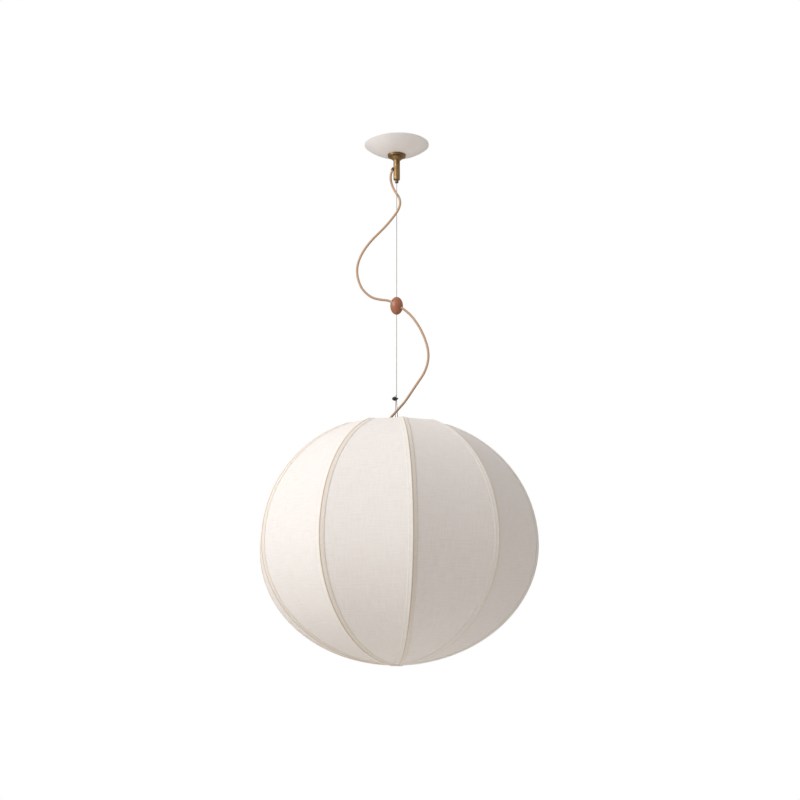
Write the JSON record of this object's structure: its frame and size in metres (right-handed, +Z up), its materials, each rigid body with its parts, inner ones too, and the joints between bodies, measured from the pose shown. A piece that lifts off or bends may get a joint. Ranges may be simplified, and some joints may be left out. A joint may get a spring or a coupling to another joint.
{
  "type": "globe pendant lamp",
  "caption": "Globe pendant lamp: fabric gores over a wire frame, hung on a steel wire with a looped textile cord, wooden bead and white ceiling canopy.",
  "frame": {"origin": "centre of the ceiling plane: the middle of the crossbar's two screw slots, on its top face", "axes": "+Z up, away from the lamp; +X along the crossbar's screw line and towards the lower cord loop; -Y is the front"},
  "size_m": [0.589, 0.599, 1.1507],
  "materials": {
    "white_enamel": "semi-matt white powder coat",
    "zinc_steel": "zinc plated",
    "brass_screw": "plain",
    "terminal_plastic": "moulded polyamide",
    "aged_brass": "aged, satin",
    "dark_steel": "blackened",
    "black_nylon": "moulded",
    "hard_steel": "ground",
    "nickel": "nickel plated",
    "wire_rope": "stranded stainless wire",
    "rosewood": "oiled",
    "holder_plastic": "moulded thermoset",
    "contact_brass": "bright",
    "bulb_cap_metal": "rolled",
    "opal_glass": "opal",
    "rib_steel": "white powder coat",
    "linen": "plain weave, laminated",
    "tape_cloth": "bias cut, glued",
    "textile_cord": "braided"
  },
  "bodies": {
    "ceiling_rose": {"canopy": "white_enamel", "crossbar": "zinc_steel", "earth_screw": "brass_screw", "threaded_nipple": "zinc_steel", "nipple_locknut": "zinc_steel", "terminal_block": "terminal_plastic", "terminal_screws": "brass_screw", "swivel_socket": "aged_brass"},
    "gripper": {"swivel_ball": "aged_brass", "gripper_stem": "aged_brass", "set_screw": "dark_steel", "cord_grommet": "black_nylon", "grip_cone": "hard_steel", "grip_balls": "hard_steel", "gripper_spring": "hard_steel", "wire_stop": "nickel", "wire_upper": "wire_rope", "cord_upper": "textile_cord"},
    "release_plunger": {"plunger": "nickel"},
    "bead": {"wood_bead": "rosewood", "cord_lower": "textile_cord"},
    "wire_end": {"wire_lower": "wire_rope", "clip_u_bolt": "dark_steel", "clip_saddle": "dark_steel", "clip_nuts": "dark_steel"},
    "shade": {"hanger_yoke": "zinc_steel", "hanger_pin": "zinc_steel", "spider_hub": "zinc_steel", "holder_nipple": "zinc_steel", "holder_nuts": "zinc_steel", "cord_gland": "black_nylon", "holder_cap": "holder_plastic", "holder_insert": "holder_plastic", "holder_shell": "holder_plastic", "screw_contact": "contact_brass", "spider_arms": "rib_steel", "top_ring": "rib_steel", "ribs": "rib_steel", "foot_hub": "rib_steel", "foot_button": "tape_cloth", "rib_tapes": "tape_cloth", "cord_tail": "textile_cord", "panel_01": "linen", "panel_02": "linen", "panel_03": "linen", "panel_04": "linen", "panel_05": "linen", "panel_06": "linen", "panel_07": "linen", "panel_08": "linen", "panel_09": "linen", "panel_10": "linen"},
    "bulb": {"bulb_cap": "bulb_cap_metal", "bulb_glass": "opal_glass"}
  },
  "joints": [
    {"name": "swivel_swing", "type": "hinge", "parent": "ceiling_rose", "child": "gripper", "pos_m": [0, 0, -0.0275], "axis": [1, 0, 0], "range_deg": [-15, 15]},
    {"name": "plunger_press", "type": "slide", "parent": "gripper", "child": "release_plunger", "axis": [0, 0, 1], "range_m": [0, 0.0017], "stiffness_N_per_m": 900, "springref_m": -0.0015, "deforming": ["gripper_spring"]},
    {"name": "height_adjust", "type": "slide", "parent": "gripper", "child": "bead", "axis": [0, 0, 1], "range_m": [-0.015, 0.075], "deforming": ["wire_upper", "cord_upper"]},
    {"name": "shade_rise", "type": "slide", "parent": "bead", "child": "wire_end", "axis": [0, 0, 1], "range_m": [-0.015, 0.075], "deforming": ["cord_lower", "wire_lower"]},
    {"name": "shade_tilt", "type": "hinge", "parent": "wire_end", "child": "shade", "pos_m": [0, 0, -0.64], "axis": [0, 1, 0], "range_deg": [-10, 10], "deforming": ["cord_tail"]},
    {"name": "bulb_turn", "type": "hinge", "parent": "shade", "child": "bulb", "pos_m": [0, 0, -0.74], "axis": [0, 0, 1], "continuous": true}
  ],
  "couplings": [
    {"joint": "shade_rise", "follows": "height_adjust", "ratio": 1}
  ]
}
